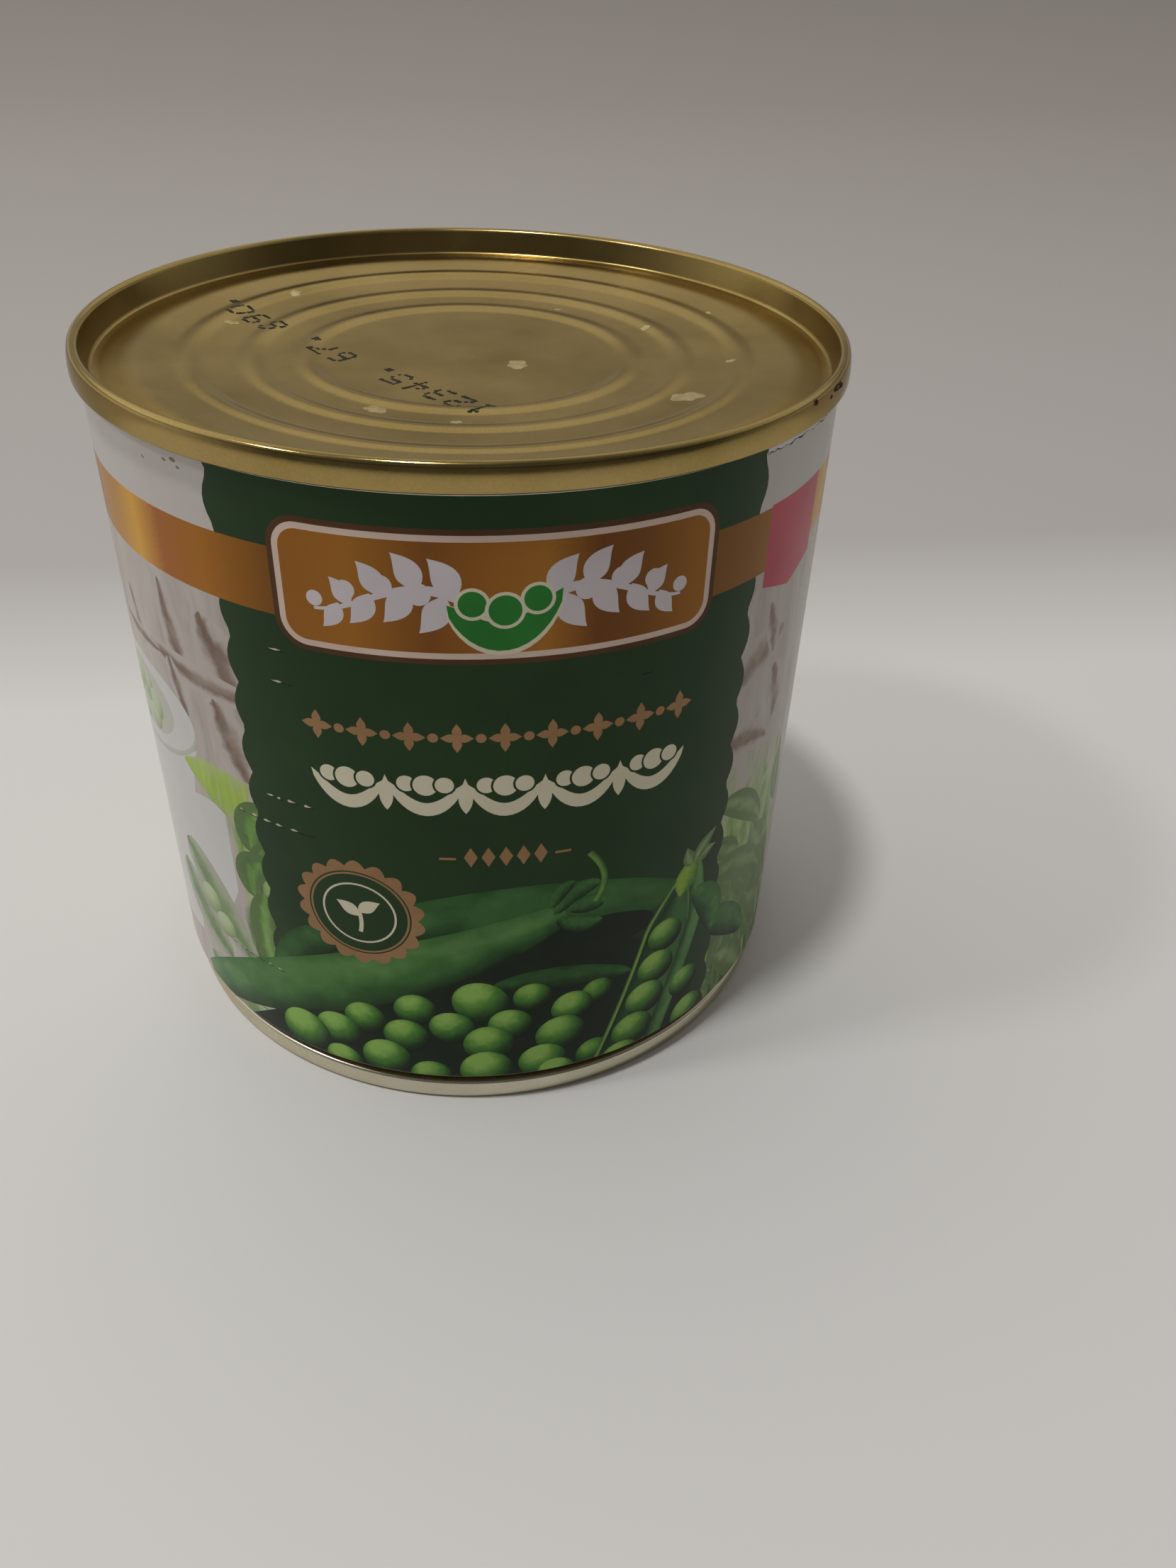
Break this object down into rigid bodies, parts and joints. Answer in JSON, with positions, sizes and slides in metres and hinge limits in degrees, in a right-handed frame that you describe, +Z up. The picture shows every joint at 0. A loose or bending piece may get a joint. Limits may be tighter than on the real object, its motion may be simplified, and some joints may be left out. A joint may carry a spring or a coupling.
{
  "type": "green pea can",
  "caption": "Shut round tin of garden peas with a printed wall, a gold lacquered beaded end, double seams and a necked-in foot that stacks.",
  "frame": {"origin": "centre of the plane that the bottom seam stands on", "axes": "+Z up along the can's axis; the middle of the printed front faces -Y, with +X at its right"},
  "size_m": [0.0866, 0.0866, 0.085],
  "materials": {
    "printed_tinplate": "lithographed tinplate under clear gloss varnish, dark green and off-white fields with gold",
    "gold_lacquered_tinplate": "satin gold lacquer over stamped tinplate",
    "pale_lacquered_tinplate": "pale champagne lacquer over stamped tinplate"
  },
  "bodies": {
    "root": {"can_body": "printed_tinplate", "top_end": "gold_lacquered_tinplate", "bottom_end": "pale_lacquered_tinplate"}
  },
  "joints": []
}
